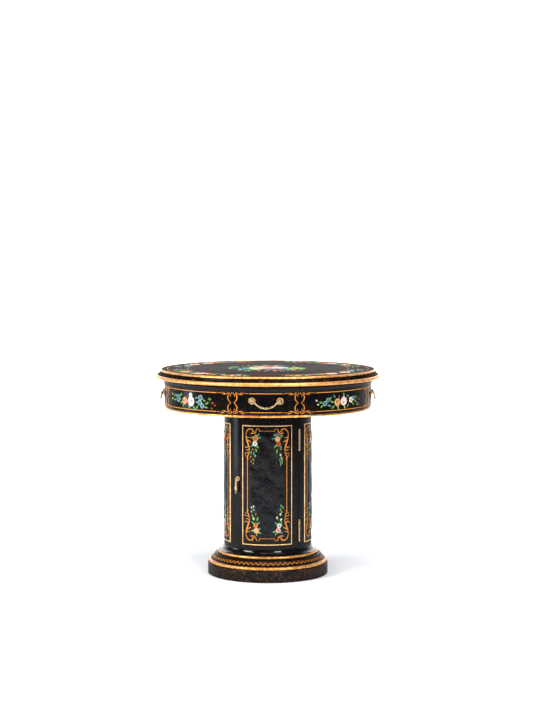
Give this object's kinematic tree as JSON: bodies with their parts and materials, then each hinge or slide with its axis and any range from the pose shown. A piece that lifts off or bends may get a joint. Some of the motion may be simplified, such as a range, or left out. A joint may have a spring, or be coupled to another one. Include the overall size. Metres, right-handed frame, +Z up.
{
  "type": "pedestal table",
  "caption": "Round black lacquered pedestal table with a drum of drawers on bail handles and a column cupboard with a curved hinged door, painted with flowers.",
  "frame": {"origin": "centre of the round foot at floor level", "axes": "+Z up along the column, -Y out of the front drawer and the door, +X to the right of someone facing the door"},
  "size_m": [0.8399, 0.84, 0.77],
  "materials": {
    "lacquer": "glossy black lacquer with painted flowers and fine brown crackle",
    "gilt": "gilded moulding, satin, rubbed at the edges",
    "brass": "antique cast brass",
    "drawer_wood": "waxed pale hardwood",
    "carcass_wood": "dark stained wood",
    "steel": "zinc plated steel",
    "felt": "dense dark felt"
  },
  "bodies": {
    "table": {"top_panel": "lacquer", "top_edge_moulding": "lacquer", "top_upper_bead": "gilt", "top_outer_bead": "gilt", "drum_top_board": "carcass_wood", "drum_bottom_board": "carcass_wood", "drawer_guides": "carcass_wood", "drawer_runners": "drawer_wood", "apron_front_right": "lacquer", "apron_back_right": "lacquer", "apron_back_left": "lacquer", "apron_front_left": "lacquer", "column_top_board": "lacquer", "column_shell": "lacquer", "column_floor_board": "carcass_wood", "column_shelf": "carcass_wood", "shelf_pegs": "brass", "door_stop": "lacquer", "door_catch": "steel", "hinge_frame_leaves": "brass", "hinge_pins": "brass", "panel_frame_right": "gilt", "panel_frame_back": "gilt", "panel_frame_left": "gilt", "base_cove": "lacquer", "base_upper_bead": "gilt", "base_ogee": "lacquer", "base_lower_bead": "gilt", "base_board": "carcass_wood", "plinth": "lacquer", "floor_glides": "felt", "top_screws": "steel", "column_bolts": "steel", "base_screws": "steel"},
    "door": {"door_leaf": "lacquer", "door_frame": "gilt", "hinge_door_leaves": "brass", "door_strike": "steel", "pull_rosette": "brass"},
    "door_pull": {"pull_drop": "brass"},
    "drawer_front": {"drawer_face_front": "lacquer", "drawer_box_front": "drawer_wood", "drawer_bottom_front": "drawer_wood", "handle_posts_front": "brass"},
    "bail_front": {"bail_front": "brass"},
    "drawer_right": {"drawer_face_right": "lacquer", "drawer_box_right": "drawer_wood", "drawer_bottom_right": "drawer_wood", "handle_posts_right": "brass"},
    "bail_right": {"bail_right": "brass"},
    "drawer_back": {"drawer_face_back": "lacquer", "drawer_box_back": "drawer_wood", "drawer_bottom_back": "drawer_wood", "handle_posts_back": "brass"},
    "bail_back": {"bail_back": "brass"},
    "drawer_left": {"drawer_face_left": "lacquer", "drawer_box_left": "drawer_wood", "drawer_bottom_left": "drawer_wood", "handle_posts_left": "brass"},
    "bail_left": {"bail_left": "brass"}
  },
  "joints": [
    {"name": "drawer_front_slide", "type": "slide", "parent": "table", "child": "drawer_front", "axis": [0, -1, 0], "range_m": [0, 0.19]},
    {"name": "bail_front_swing", "type": "hinge", "parent": "drawer_front", "child": "bail_front", "pos_m": [0, -0.39367, 0.684], "axis": [-1, 0, 0], "range_deg": [0, 85]},
    {"name": "drawer_right_slide", "type": "slide", "parent": "table", "child": "drawer_right", "axis": [1, 0, 0], "range_m": [0, 0.19]},
    {"name": "bail_right_swing", "type": "hinge", "parent": "drawer_right", "child": "bail_right", "pos_m": [0.39367, 0, 0.684], "axis": [0, -1, 0], "range_deg": [0, 85]},
    {"name": "drawer_back_slide", "type": "slide", "parent": "table", "child": "drawer_back", "axis": [0, 1, 0], "range_m": [0, 0.19]},
    {"name": "bail_back_swing", "type": "hinge", "parent": "drawer_back", "child": "bail_back", "pos_m": [0, 0.39367, 0.684], "axis": [1, 0, 0], "range_deg": [0, 85]},
    {"name": "drawer_left_slide", "type": "slide", "parent": "table", "child": "drawer_left", "axis": [-1, 0, 0], "range_m": [0, 0.19]},
    {"name": "bail_left_swing", "type": "hinge", "parent": "drawer_left", "child": "bail_left", "pos_m": [-0.39367, 0, 0.684], "axis": [0, 1, 0], "range_deg": [0, 85]},
    {"name": "door_swing", "type": "hinge", "parent": "table", "child": "door", "pos_m": [0.11823, -0.11823, 0.35], "axis": [0, 0, 1], "range_deg": [0, 110]},
    {"name": "door_pull_swing", "type": "hinge", "parent": "door", "child": "door_pull", "pos_m": [-0.1153, -0.13032, 0.371], "axis": [-0.749, 0.6626, 0], "range_deg": [0, 85]}
  ]
}
